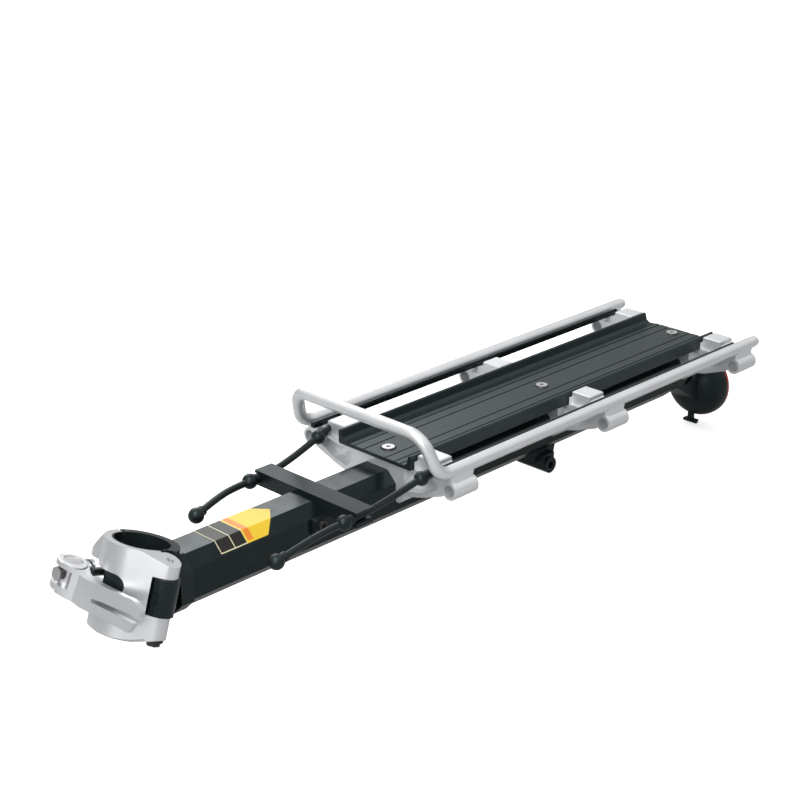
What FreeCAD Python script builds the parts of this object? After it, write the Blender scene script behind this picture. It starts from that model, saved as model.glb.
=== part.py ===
import FreeCAD, Part
import math
import os

# Seatpost-mounted rear rack, in millimetres.
# Origin: centre of the seatpost clamp, halfway up its bore.
# +X runs rearward, +Z is up with the load plate level, and -Y is the side of the clamp's hinge.

Vector = FreeCAD.Vector
X_AXIS = Vector(1, 0, 0)
Y_AXIS = Vector(0, 1, 0)
Z_AXIS = Vector(0, 0, 1)

# Driving dimensions: the clamp
post_radius = 15.9            # seatpost 31.8 mm across
seat_tube_lean = 18.0         # degrees the seatpost leans rearward
liner_wall = 1.0
jaw_wall = 4.2
jaw_top = 25.0
jaw_bottom = -27.0
jaw_gap = 1.6                 # between the two jaws at rest
hinge_x = 0.5
hinge_y = -24.5
hinge_ear_radius = 6.4
hinge_knuckle_radius = 7.9
hinge_gap_radius = 9.2        # room in the front jaw round the knuckle
hinge_pin_radius = 2.0
knuckle_top = 12.4
knuckle_bottom = -8.6
ear_slope = 0.37              # fall of the hinge ear's top land per mm outward
bolt_y = 21.5
bolt_z = 0.4
bolt_radius = 2.5
bolt_neck_radius = 3.8
bolt_pivot_x = 22.0
bolt_pivot_radius = 2.5
bolt_eye_radius = 6.0
bolt_eye_height = 8.0
barrel_x = -28.0
barrel_radius = 5.5
washer_radius = 6.6
ear_lobe_radius = 9.5
ear_lobe_y = 21.8
ear_lobe_top = 12.5
ear_lobe_bottom = -10.0
ear_lobe_slope = 1.5          # rise of the lobe's shoulders per mm toward the post
jaw_slot_height = 12.2
jaw_slot_z = 2.7
jaw_slot_end_y = -6.2
bolt_slot_half = 5.7            # room about the bolt in the lobe
nut_across_flats = 7.4
nut_height = 3.0
nut_washer = 0.6

# Driving dimensions: the quick-release lever
lever_tilt = 9.0              # degrees the lever's pivot leans toward its tip, about the bolt
lever_inner_x = -22.9        # inner face of the blade, straight ahead of the post
lever_curl = 2.6              # how far the tip bends back round the jaw
lever_tip_y = -37.0
lever_thickness = 4.4
lever_top = 7.8
lever_bottom = -9.6
lever_boss_radius = 8.8
lever_fork_top = 4.7          # above the bolt
lever_fork_bottom = -5.6
lever_fork_reach = 10.5
lever_blade_top = 2.2
lever_blade_bottom = -15.6
lever_window_length = 32.0
lever_window_height = 3.8

# Driving dimensions: the beam
beam_width = 32.6
beam_chamfer = 7.1
beam_wall = 2.4
beam_top = 11.4
beam_front = 28.0
beam_rear = 500.0
beam_cut_rise = 14.0          # height of the slanted cut under the rear end
beam_cut_run = 26.0

# Driving dimensions: the load platform
bracket_first_x = 199.0
bracket_pitch = 147.0
bracket_count = 3
bracket_width = 20.0
bracket_crest_width = 14.0
bracket_ledge_top = 18.3
bracket_wall = 5.0
bracket_leg = 19.5            # how far the saddle reaches down the beam's sides
bracket_web = 6.0
rail_radius = 4.0
rail_wall = 1.2
rail_y = 59.7
rail_z = 25.0
rail_rear = 507.0
rail_bore_depth = 24.0
plug_depth = 12.0
plug_cap = 4.4
hoop_corner_x = 181.0
hoop_lean_x = 8.5
hoop_lean_y = 5.5
hoop_rise = 26.0
hoop_bend_radius = 13.0
lug_y = 60.8
lug_z = 13.0
lug_radius = 5.7
lug_bore_radius = 4.0
tab_gap = 1.0                 # between the tray's nominal side and a tab
tab_setback = 5.6             # from a tab's outer face to the middle of the side strip
tab_length = 14.0
tab_top = 27.0
strip_y = 52.6
strip_width = 3.4
strip_height = 3.0
strip_front = 184.0
strip_rear = 494.0
plate_front = 186.5
plate_rear = 502.5
plate_half_width = 31.0
plate_floor_top = 20.2
plate_thickness = 2.4
plate_lip_top = 27.2
plate_groove_depth = 0.5
plate_groove_width = 1.0
plate_groove_places = (9.5, 17.5, 22.5)
screw_head_radius = 4.0
screw_shank_radius = 2.0
cup_radius = 5.2
cup_height = 0.9

# Driving dimensions: the strap bar, the straps and the rear fittings
strap_bar_x = 134.75
strap_bar_width = 13.6
strap_bar_half_length = 44.5
strap_bar_top = 14.0
strap_bar_depth = 9.6
strap_leg_front = 118.5
strap_leg_bottom = -7.0
strap_leg_wall = 3.2
strap_screw_radius = 1.8
strap_screw_z = -0.6
cord_radius = 2.2
cord_bar_y = 41.2
cord_bar_z = 9.5
knob_radius = 4.85
socket_x = 342.0
socket_z = -33.0
socket_radius = 5.6
socket_bore_radius = 2.6
socket_half_length = 13.5
socket_screw_radius = 2.0
dish_setback = 31.5
dish_drop = 7.7
dish_radius = 24.9
holder_plug_depth = 40.0      # how far the holder reaches into the beam
holder_cap = 3.0
neck_half_width = 10.0
neck_top_drop = 16.0          # the neck's edges on the dish, above and below its middle
neck_low_drop = 12.0
dish_depth = 18.0
dish_wall = 1.8
dish_rim = 1.6
lens_thickness = 5.0

# Named fits
running = 0.05
slide_gap = 0.3
seat_gap = 0.02
eye_clearance = 0.7           # round the bolt's eye in its clevis
ear_clearance = 2.6           # round the swinging hinge ears

jaw_bore = post_radius + liner_wall
jaw_outer = jaw_bore + jaw_wall
beam_half = beam_width / 2
beam_bottom = beam_top - beam_width
beam_middle = beam_top - beam_half
tab_inner_y = plate_half_width + tab_gap
tab_outer_y = strip_y - tab_setback
dish_x = beam_rear + dish_setback
dish_z = beam_bottom - dish_drop
bracket_places = [bracket_first_x + bracket_pitch * i for i in range(bracket_count)]
platform_deck = plate_floor_top - plate_thickness
cord_hole = cord_radius + 0.1
cord_slot = cord_radius + 0.45


def box(x0, x1, y0, y1, z0, z1):
    """A block between two corners."""
    return Part.makeBox(x1 - x0, y1 - y0, z1 - z0, Vector(x0, y0, z0))


def rod(radius, start, end):
    """A round bar from one point to another."""
    start = Vector(*start)
    run = Vector(*end) - start
    return Part.makeCylinder(radius, run.Length, start, run)


def prism(points, run):
    """A straight-sided profile pushed along a vector."""
    corners = [Vector(*p) for p in points]
    return Part.Face(Part.makePolygon(corners + corners[:1])).extrude(Vector(*run))


def profile_along_x(points, x0, x1):
    """A (y, z) profile that runs from x0 to x1."""
    return prism([(x0, y, z) for y, z in points], (x1 - x0, 0, 0))


def profile_along_y(points, y0, y1):
    """An (x, z) profile that runs from y0 to y1."""
    return prism([(x, y0, z) for x, z in points], (0, y1 - y0, 0))


def profile_along_z(points, z0, z1):
    """An (x, y) profile that runs from z0 to z1."""
    return prism([(x, y, z0) for x, y in points], (0, 0, z1 - z0))


def mirrored(shape):
    """The same shape on the other side of the rack's middle plane."""
    return shape.mirror(Vector(0, 0, 0), Y_AXIS)


def joined(shapes):
    """One solid from several that touch."""
    first = shapes[0]
    return first.fuse(shapes[1:]).removeSplitter()


def hexagon(across_flats, height, base, axis):
    """A hexagonal bar with its base centre and its axis."""
    corner = across_flats / math.sqrt(3)
    angles = [math.radians(60 * i) for i in range(7)]
    ring = Part.makePolygon([Vector(corner * math.cos(a), corner * math.sin(a), 0) for a in angles])
    bar = Part.Face(ring).extrude(Vector(0, 0, height))
    bar.Placement = FreeCAD.Placement(Vector(*base), FreeCAD.Rotation(Z_AXIS, Vector(*axis)))
    return bar


def in_clamp_frame(shape):
    """Turns a shape from the upright clamp frame to the seatpost's lean."""
    turned = shape.copy()
    turned.rotate(Vector(0, 0, 0), Y_AXIS, seat_tube_lean)
    return turned


def octagon(inset):
    """The beam's eight-sided section, brought in by a distance."""
    half = beam_half - inset
    chamfer = beam_chamfer - inset * (2 - math.sqrt(2))
    flat = half - chamfer
    ring = [(half, flat), (flat, half), (-flat, half), (-half, flat)]
    ring += [(-half, -flat), (-flat, -half), (flat, -half), (half, -flat)]
    return [(y, beam_middle + z) for y, z in ring]


# The clamp, in its own upright frame: x ahead is negative, z follows the seatpost

def clamp_half_plane(ahead):
    """The space on one side of the split between the jaws."""
    reach = 90
    split = jaw_gap / 2
    if ahead:
        return box(-reach, -split, -reach, reach, -reach, reach)
    return box(split, reach, -reach, reach, -reach, reach)


def bolt_slot(from_y, height, from_x, to_x):
    """A slot round the bolt, with a round inner end and open toward +Y."""
    low = jaw_slot_z - height / 2
    straight = box(from_x, to_x, from_y, 60, low, low + height)
    end = rod(height / 2, (from_x, from_y, jaw_slot_z), (to_x, from_y, jaw_slot_z))
    return straight.fuse(end)


def front_jaw():
    """The swinging jaw: two hinge ears, a round front and a slotted lobe for the bolt."""
    tall = jaw_top - jaw_bottom
    shell = Part.makeCylinder(jaw_outer, tall, Vector(0, 0, jaw_bottom))
    ear = Part.makeCylinder(hinge_ear_radius, tall, Vector(hinge_x, hinge_y, jaw_bottom))
    # Flank that runs as a tangent from the round front to the ear
    distance = math.hypot(hinge_x, hinge_y)
    toward = math.atan2(hinge_y, hinge_x)
    spread = math.acos((jaw_outer - hinge_ear_radius) / distance)
    side = toward - spread
    flank = profile_along_z([
        (0, 0),
        (jaw_outer * math.cos(side), jaw_outer * math.sin(side)),
        (hinge_x + hinge_ear_radius * math.cos(side), hinge_y + hinge_ear_radius * math.sin(side)),
        (hinge_x, hinge_y),
    ], jaw_bottom, jaw_top)
    body = shell.common(clamp_half_plane(True)).fuse([flank.common(clamp_half_plane(True)), ear])
    # Lobe that the saddle washer presses on, between sloping shoulders
    lobe = Part.makeCylinder(ear_lobe_radius, tall, Vector(lobe_centre_x(), ear_lobe_y, jaw_bottom))
    web = box(lobe_centre_x() - ear_lobe_radius, 0, 8, ear_lobe_y, jaw_bottom, jaw_top)
    lobe = lobe.fuse(web).common(lobe_envelope()).common(clamp_half_plane(True))
    body = body.fuse(lobe)
    # Top and bottom fall away toward the hinge, and the front's lower rim is turned in
    ear_start = -jaw_bore + 0.5
    reach = 60
    fall = ear_slope * (ear_start + reach)
    upper = [(ear_start, jaw_top), (-reach, jaw_top - fall), (-reach, 90), (ear_start, 90)]
    lower = [(ear_start, jaw_bottom), (-reach, jaw_bottom + fall), (-reach, -90), (ear_start, -90)]
    body = body.cut([profile_along_x(upper, -90, 90), profile_along_x(lower, -90, 90)])
    rim = Part.makeCone(jaw_outer - 5, jaw_outer + 9, 9, Vector(0, 0, jaw_bottom - 1.5))
    keep_low = rim.fuse(Part.makeCylinder(90, 200, Vector(0, 0, jaw_bottom + 7.5)))
    body = body.common(keep_low.fuse(box(-7, 20, -60, -jaw_bore, jaw_bottom, 0)))
    # Bore, knuckle gap, pin hole and bolt slot
    body = body.cut(Part.makeCylinder(jaw_bore, 200, Vector(0, 0, -100)))
    gap = Part.makeCylinder(hinge_gap_radius, knuckle_top - knuckle_bottom + 2 * slide_gap,
                            Vector(hinge_x, hinge_y, knuckle_bottom - slide_gap))
    sweep = box(hinge_x - hinge_gap_radius, hinge_x + 30, hinge_y - hinge_gap_radius - 3, hinge_y,
                knuckle_bottom - slide_gap, knuckle_top + slide_gap)
    spot = Part.makeCylinder(5.6, 40, Vector(hinge_x, hinge_y, hinge_nut_seat() - 40))
    body = body.cut([gap, sweep, spot, hinge_relief(hinge_x - 1, 60)])
    body = body.cut(Part.makeCylinder(hinge_pin_radius + running, 200, Vector(hinge_x, hinge_y, -100)))
    body = body.cut(bolt_slot(jaw_slot_end_y, jaw_slot_height, -60, 20))
    # The bolt leaves sideways through its own slot in the lobe
    bolt_room = box(-60, 20, bolt_y - bolt_slot_half, 60, bolt_z - bolt_slot_half, bolt_z + bolt_slot_half)
    pad_reach = washer_radius + 0.6 + slide_gap
    pad_room = box(-60, saddle_seat_x() + 6, bolt_y + 0.4, 60, bolt_z - pad_reach, bolt_z + pad_reach)
    body = body.cut([bolt_room, pad_room])
    return in_clamp_frame(largest(body))


def hinge_relief(x0, x1):
    """Takes what lies beyond the liner's reach off the post side of a hinge piece, so it can turn."""
    reach = math.hypot(hinge_x, hinge_y) - jaw_bore - slide_gap
    block = box(x0, x1, hinge_y, 0, -90, 90)
    return block.cut(Part.makeCylinder(reach, 200, Vector(hinge_x, hinge_y, -100)))


def lobe_envelope():
    """Space about the post's line whose top and bottom slope in to the lobe's height."""
    reach = lobe_reach()
    top_run = (jaw_top - ear_lobe_top) / ear_lobe_slope
    low_run = (ear_lobe_bottom - jaw_bottom) / ear_lobe_slope
    outline = [
        (0, jaw_top), (reach - top_run, jaw_top), (reach, ear_lobe_top), (reach + 8, ear_lobe_top - 4),
        (reach + 8, ear_lobe_bottom + 4), (reach, ear_lobe_bottom), (reach - low_run, jaw_bottom),
        (0, jaw_bottom),
    ]
    corners = [Vector(r, 0, z) for r, z in outline]
    return Part.Face(Part.makePolygon(corners + corners[:1])).revolve(Vector(0, 0, 0), Z_AXIS, 360)


def lobe_reach():
    """Farthest that the lobe stands from the post's line."""
    return math.hypot(lobe_centre_x(), ear_lobe_y) + ear_lobe_radius - 2


def lobe_centre_x():
    """Places the lobe so that its crest just clears the saddle washer."""
    return saddle_seat_x() + 0.8 + ear_lobe_radius


def saddle_seat_x():
    """The saddle washer's rear face on the bolt."""
    return barrel_x + lever_boss_radius + slide_gap + 5.6


def largest(shape):
    """The biggest solid of a result, without slivers left by a cut."""
    solids = sorted(shape.Solids, key=lambda s: s.Volume)
    return solids[-1]


def liner_half(ahead):
    """One half of the thin sleeve that grips the post, lipped over the jaw's top and bottom."""
    tall = jaw_top - jaw_bottom
    sleeve = Part.makeCylinder(jaw_bore - seat_gap, tall, Vector(0, 0, jaw_bottom))
    sleeve = sleeve.cut(Part.makeCylinder(post_radius, 200, Vector(0, 0, -100)))
    half = sleeve.common(clamp_half_plane(ahead))
    if not ahead:
        return half
    key_height = jaw_slot_height - 2 * slide_gap
    key = bolt_slot(jaw_slot_end_y, key_height, -jaw_outer, -8)
    key = key.cut(box(-90, 90, jaw_slot_end_y + 9, 90, -90, 90))
    band = Part.makeCylinder(jaw_outer - 1.4, tall, Vector(0, 0, jaw_bottom))
    band = band.cut(Part.makeCylinder(post_radius, 200, Vector(0, 0, -100)))
    return half.fuse(key.common(band)).removeSplitter()


def front_liner():
    return in_clamp_frame(liner_half(True))


def rear_liner():
    return in_clamp_frame(liner_half(False))


def beam_spigot():
    """The eight-sided plug of the clamp head that fills the beam's mouth."""
    return profile_along_x(octagon(beam_wall + 2 * seat_gap), beam_front - 6, beam_front + 24)


def clamp_head():
    """Casting that carries the rear half of the clamp, the knuckle, the bolt's clevis and the beam."""
    shell = Part.makeCylinder(jaw_outer, jaw_top - jaw_bottom, Vector(0, 0, jaw_bottom))
    shell = shell.common(clamp_half_plane(False))
    knuckle = Part.makeCylinder(hinge_knuckle_radius, knuckle_top - knuckle_bottom,
                                Vector(hinge_x, hinge_y, knuckle_bottom))
    knuckle = knuckle.cut(hinge_relief(-60, hinge_x + 1))
    knuckle_arm = profile_along_z([
        (hinge_x + 1, hinge_y + 1), (hinge_x + hinge_knuckle_radius - 0.3, hinge_y), (jaw_outer + 2, -14),
        (12, -10), (5, -16),
    ], knuckle_bottom, knuckle_top)
    clevis_height = bolt_eye_height + 12
    clevis_low = bolt_z - clevis_height / 2
    clevis = Part.makeCylinder(bolt_eye_radius + 1, clevis_height, Vector(bolt_pivot_x, bolt_y, clevis_low))
    clevis_arm = profile_along_z([
        (bolt_pivot_x - bolt_eye_radius - 1, bolt_y), (bolt_pivot_x + bolt_eye_radius + 1, bolt_y),
        (bolt_pivot_x + bolt_eye_radius + 1, 8), (12, 8),
    ], clevis_low, clevis_low + clevis_height)
    body = joined([shell, knuckle, knuckle_arm, clevis, clevis_arm])
    # Room for the front jaw's ears, which turn above and below the knuckle
    ear_room = hinge_ear_radius + ear_clearance
    for low, high in ((knuckle_top, 90), (-90, knuckle_bottom)):
        body = body.cut(Part.makeCylinder(ear_room, high - low, Vector(hinge_x, hinge_y, low)))
    eye_gap = bolt_eye_height + 2 * slide_gap
    eye_low = bolt_z - eye_gap / 2
    eye_room = bolt_eye_radius + eye_clearance
    room = Part.makeCylinder(eye_room, eye_gap, Vector(bolt_pivot_x, bolt_y, eye_low))
    path = box(-60, bolt_pivot_x, bolt_y - bolt_neck_radius - 0.6, 60, eye_low, eye_low + eye_gap)
    outward = box(bolt_pivot_x - 0.1, bolt_pivot_x + eye_room, bolt_y, 60, eye_low, eye_low + eye_gap)
    body = body.cut([room, path, outward])
    body = in_clamp_frame(body)
    # Throat that blends the clamp into the beam's section
    collar_points = octagon(-1.2)
    collar = profile_along_x(collar_points, beam_front - 9, beam_front - seat_gap)
    throat = profile_along_x(octagon(1.5), 8, beam_front - 8)
    rear_block = in_clamp_frame(box(8, 19, -13, 13, -24, 21))
    mouth = beam_spigot()
    body = body.fuse([collar.cut(in_clamp_frame(swept_room())), throat, rear_block, mouth])
    bore = Part.makeCylinder(jaw_bore, 300, Vector(0, 0, -150))
    pin = Part.makeCylinder(hinge_pin_radius + running, 300, Vector(hinge_x, hinge_y, -150))
    pivot = Part.makeCylinder(bolt_pivot_radius + running, 200, Vector(bolt_pivot_x, bolt_y, -100))
    body = body.cut([in_clamp_frame(bore), in_clamp_frame(pivot), in_clamp_frame(pin)])
    wall = profile_along_x(octagon(-seat_gap), beam_front - seat_gap, beam_front + 60)
    wall = wall.cut(profile_along_x(octagon(beam_wall + seat_gap), beam_front - 1, beam_front + 61))
    body = body.cut([in_clamp_frame(box(-60, jaw_gap / 2, -14, 60, -90, 90)), wall])
    return largest(body)


def swept_room():
    """Space kept free round the bolt's eye and the ears in the collar."""
    eye_gap = bolt_eye_height + 2 * slide_gap
    eye_low = bolt_z - eye_gap / 2
    eye = Part.makeCylinder(bolt_eye_radius + eye_clearance, eye_gap, Vector(bolt_pivot_x, bolt_y, eye_low))
    ears = Part.makeCylinder(hinge_ear_radius + ear_clearance, 200, Vector(hinge_x, hinge_y, -100))
    return eye.fuse(ears)


def hinge_top_at_pin():
    """Height of the sloping hinge ear over the pin."""
    return jaw_top - ear_slope * (-jaw_bore + 0.5 - hinge_y)


def hinge_bottom_at_pin():
    return jaw_bottom + ear_slope * (-jaw_bore + 0.5 - hinge_y)


def hinge_pin():
    """The headed pin that the front jaw swings on."""
    top = hinge_top_at_pin() - 1.4
    bottom = hinge_nut_seat() - 4.0
    pin = rod(hinge_pin_radius, (hinge_x, hinge_y, bottom), (hinge_x, hinge_y, top))
    socket = hexagon(2.4, 2, (hinge_x, hinge_y, top - 1.6), (0, 0, 1))
    return in_clamp_frame(pin.cut(socket))


def hinge_nut_seat():
    """Flat spot under the lower hinge ear."""
    return hinge_bottom_at_pin() + 1.2


def hinge_nut():
    """The low flanged nut under the lower hinge ear."""
    top = hinge_nut_seat() - seat_gap
    collar = rod(5.2, (hinge_x, hinge_y, top - 1.2), (hinge_x, hinge_y, top))
    bar = hexagon(7.0, 2.6, (hinge_x, hinge_y, top - 3.6), (0, 0, 1))
    hole = rod(hinge_pin_radius + seat_gap, (hinge_x, hinge_y, top - 9), (hinge_x, hinge_y, top + 9))
    return in_clamp_frame(joined([collar, bar]).cut(hole))


def bolt_point(x):
    return (x, bolt_y, bolt_z)


def swing_bolt():
    """The eye bolt that pulls the front jaw shut."""
    low = bolt_z - bolt_eye_height / 2
    eye = Part.makeCylinder(bolt_eye_radius, bolt_eye_height, Vector(bolt_pivot_x, bolt_y, low))
    tip_x = barrel_x - barrel_radius - nut_washer - nut_height
    shank = rod(bolt_radius, bolt_point(tip_x), bolt_point(bolt_pivot_x))
    neck = Part.makeCone(bolt_radius, bolt_neck_radius, 6, Vector(*bolt_point(bolt_pivot_x - 11)), X_AXIS)
    body = joined([eye, shank, neck])
    return in_clamp_frame(body.cut(rod(bolt_pivot_radius + running, (bolt_pivot_x, bolt_y, -50),
                                       (bolt_pivot_x, bolt_y, 50))))


def bolt_pivot_pin():
    """The pin through the clevis that the bolt swings on."""
    half = (bolt_eye_height + 12) / 2
    pin = rod(bolt_pivot_radius, (bolt_pivot_x, bolt_y, bolt_z - half), (bolt_pivot_x, bolt_y, bolt_z + half))
    head = Part.makeCylinder(bolt_pivot_radius + 1.2, 1.2, Vector(bolt_pivot_x, bolt_y, bolt_z + half))
    return in_clamp_frame(joined([pin, head]))


def tilted(shape):
    """Droops a lever piece about the bolt's own line."""
    turned = shape.copy()
    turned.rotate(Vector(0, bolt_y, bolt_z), X_AXIS, lever_tilt)
    return turned


def cam_barrel():
    """The barrel nut in the lever's fork."""
    barrel = Part.makeCylinder(barrel_radius, lever_top - lever_bottom - 0.8,
                               Vector(barrel_x, bolt_y, bolt_z + lever_bottom + 0.4))
    barrel = barrel.makeChamfer(0.4, [e for e in barrel.Edges if len(e.Vertexes) == 1])
    barrel = tilted(barrel)
    return in_clamp_frame(barrel.cut(rod(bolt_radius + seat_gap, bolt_point(-60), bolt_point(20))))


def saddle_washer():
    """Round-backed washer and its flanged sleeve between the lever's boss and the jaw's lobe."""
    seat = saddle_seat_x()
    front = barrel_x + lever_boss_radius + slide_gap
    sleeve = rod(washer_radius - 2.2, bolt_point(front + 0.8), bolt_point(seat - 1))
    flange = rod(washer_radius, bolt_point(front), bolt_point(front + 1.8))
    pad = rod(washer_radius + 0.6, bolt_point(front + 2.8), bolt_point(seat))
    back_radius = washer_radius + 1.4
    round_back = Part.makeCylinder(back_radius, 40, Vector(seat - back_radius, bolt_y, bolt_z - 20))
    pad = pad.common(round_back)
    body = joined([sleeve, flange, pad])
    return in_clamp_frame(body.cut(rod(bolt_radius + seat_gap, bolt_point(-60), bolt_point(40))))


def adjusting_nut():
    """Hex nut and its washer on the bolt's tip, reached through the lever's fork."""
    face = barrel_x - barrel_radius
    washer = rod(nut_across_flats / 2, bolt_point(face), bolt_point(face - nut_washer))
    nut = hexagon(nut_across_flats, nut_height, bolt_point(face - nut_washer), (-1, 0, 0))
    body = washer.fuse(nut)
    body = body.cut(tilted(rod(barrel_radius, (barrel_x, bolt_y, -60), (barrel_x, bolt_y, 60))))
    hole = rod(bolt_radius + seat_gap, bolt_point(-60), bolt_point(0))
    return in_clamp_frame(body.cut(hole).removeSplitter())


def lever_plan():
    """The lever seen along its pivot: a thick root that thins into a blade bent round the jaw."""

    def corner(x, y):
        return Vector(x, y, bolt_z - 40)

    inner_root = corner(lever_inner_x - 0.7, bolt_y - 12)
    inner_middle = corner(lever_inner_x, -10)
    inner_tip = corner(lever_inner_x + lever_curl, lever_tip_y)
    outer_root = corner(lever_inner_x - lever_thickness - 4.2, bolt_y - 12)
    outer_middle = corner(lever_inner_x - lever_thickness, -10)
    outer_tip = corner(lever_inner_x + lever_curl - lever_thickness + 1.2, lever_tip_y - 1.5)
    root_front = corner(barrel_x - lever_boss_radius * 0.97, bolt_y - 2)
    root_rear = corner(barrel_x + lever_boss_radius * 0.8, bolt_y - 5)
    edges = [
        Part.Arc(root_front, corner(barrel_x - 6.6, bolt_y - 7.5), outer_root).toShape(),
        Part.Arc(outer_root, outer_middle, outer_tip).toShape(),
        Part.makeLine(outer_tip, inner_tip),
        Part.Arc(inner_tip, inner_middle, inner_root).toShape(),
        Part.makeLine(inner_root, root_rear),
        Part.makeLine(root_rear, root_front),
    ]
    return Part.Face(Part.Wire(edges)).extrude(Vector(0, 0, 80))


def untilted(y, z):
    """A (y, z) place on the level lever, in the frame of its leaning pivot."""
    cos = math.cos(math.radians(lever_tilt))
    sin = math.sin(math.radians(lever_tilt))
    dy = y - bolt_y
    dz = z - bolt_z
    return (bolt_y + dy * cos + dz * sin, bolt_z - dy * sin + dz * cos)


def lever_side():
    """The lever seen from ahead: its back dips from the boss to the blade, and its tip has a finger hook."""
    top = lever_blade_top
    low = lever_blade_bottom
    tip = lever_tip_y
    path = [
        ("to", (bolt_y + 3, bolt_z + lever_top + 1)),
        ("to", (bolt_y - 7, bolt_z + lever_top - 1.2)),
        ("by", (bolt_y - 13, top + 1.6), (bolt_y - 21, top + 0.5)),
        ("to", (tip + 12, top + 0.2)),
        ("by", (tip + 3.6, top - 1.7), (tip, top - 7.0)),
        ("to", (tip - 0.2, top - 8.6)),
        ("to", (tip + 3.4, top - 8.8)),
        ("by", (tip + 4.4, top - 13.0), (tip + 7.4, low - 0.2)),
        ("to", (bolt_y - 16, low + 1.6)),
        ("to", (bolt_y - 3, bolt_z + lever_bottom - 1.4)),
        ("to", (bolt_y + 3, bolt_z + lever_bottom - 0.2)),
    ]
    edges = []
    here = None
    for kind, *spots in path:
        spots = [Vector(-70, *untilted(y, z)) for y, z in spots]
        if here is not None and kind == "by":
            edges.append(Part.Arc(here, spots[0], spots[1]).toShape())
        elif here is not None:
            edges.append(Part.makeLine(here, spots[0]))
        here = spots[-1]
    start = edges[0].Vertexes[0].Point
    edges.append(Part.makeLine(here, start))
    return Part.Face(Part.Wire(edges)).extrude(Vector(90, 0, 0))


def lever_window():
    """The long slot through the blade, wider toward the tip."""
    middle = lever_blade_top - 9.5
    near = bolt_y - 24
    far = near - lever_window_length
    half = lever_window_height / 2
    small = half * 0.6
    ends = [rod(small, (-70, *untilted(near, middle)), (0, *untilted(near, middle))),
            rod(half, (-70, *untilted(far + half, middle - 0.2)), (0, *untilted(far + half, middle - 0.2)))]
    between = prism([(-70, *untilted(y, z)) for y, z in (
        (near, middle + small), (far + half, middle - 0.2 + half), (far + half, middle - 0.2 - half),
        (near, middle - small))], (70, 0, 0))
    return [between] + ends


def cam_lever():
    """The quick-release lever, forked round the bolt and slotted along its blade."""
    boss = Part.makeCylinder(lever_boss_radius, lever_top - lever_bottom,
                             Vector(barrel_x, bolt_y, bolt_z + lever_bottom))
    rims = [e for e in boss.Edges if len(e.Vertexes) == 1]
    boss = boss.makeFillet(1.0, rims)
    blade = lever_plan().common(lever_side())
    body = joined([boss, blade])
    fork = Part.makeCylinder(lever_fork_reach, lever_fork_top - lever_fork_bottom,
                             Vector(barrel_x, bolt_y, bolt_z + lever_fork_bottom))
    pin_hole = Part.makeCylinder(barrel_radius + running, 80, Vector(barrel_x, bolt_y, bolt_z - 40))
    body = body.cut([fork, pin_hole] + lever_window())
    return in_clamp_frame(tilted(largest(body)))


# The beam and what rides on it

def beam():
    """Eight-sided tube with its rear end cut away underneath."""
    tube = profile_along_x(octagon(0), beam_front, beam_rear)
    hollow = profile_along_x(octagon(beam_wall), beam_front - 1, beam_rear + 1)
    body = tube.cut(hollow)
    body = body.cut(beam_end_cut(0))
    hole = screw_shank_radius + running
    holes = [rod(hole, (x, 0, beam_top - 8), (x, 0, beam_top + 8)) for x in bracket_places]
    under = rod(socket_screw_radius + running, (socket_x, 0, beam_bottom - 5), (socket_x, 0, beam_bottom + 8))
    return body.cut(holes + [strap_screw_hole(), under])


def beam_end_cut(shift):
    """What the slanted cut takes off the beam's rear lower corner."""
    start = beam_rear - beam_cut_run + shift
    return profile_along_y([
        (start, beam_bottom - 1), (start, beam_bottom), (beam_rear + shift, beam_bottom + beam_cut_rise),
        (beam_rear + shift + 30, beam_bottom + beam_cut_rise), (beam_rear + shift + 30, beam_bottom - 1),
    ], -40, 40)


def bracket_outline():
    """Half of the bracket's (y, z) outline, from the middle of the beam's top out to the lug."""
    side = beam_half + bracket_wall
    shoulder = beam_half - beam_chamfer
    return [
        (0, beam_top), (shoulder, beam_top), (beam_half, beam_top - beam_chamfer),
        (beam_half, beam_top - bracket_leg), (side - 2, beam_top - bracket_leg),
        (side, beam_top - bracket_leg + 2), (side + 2.5, beam_top - bracket_leg + 6), (38, 1.6),
        (lug_y - 6, lug_z - 5.2), (lug_y, lug_z), (rail_y + 3.2, rail_z - 1.2), (rail_y, rail_z),
        (rail_y - 4.6, rail_z - 1.2), (strip_y + strip_width / 2 + 0.6, strip_floor()),
        (strip_y - strip_width / 2 - 0.6, strip_floor()), (tab_outer_y, strip_floor() + 1.5),
        (tab_outer_y, tab_top - 3.5), (tab_inner_y, tab_top - 3.5),
        (tab_inner_y, platform_deck), (0, platform_deck),
    ]


def strip_floor():
    """Where the side strips rest on the brackets."""
    return tab_top - 1.4 - strip_height


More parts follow.
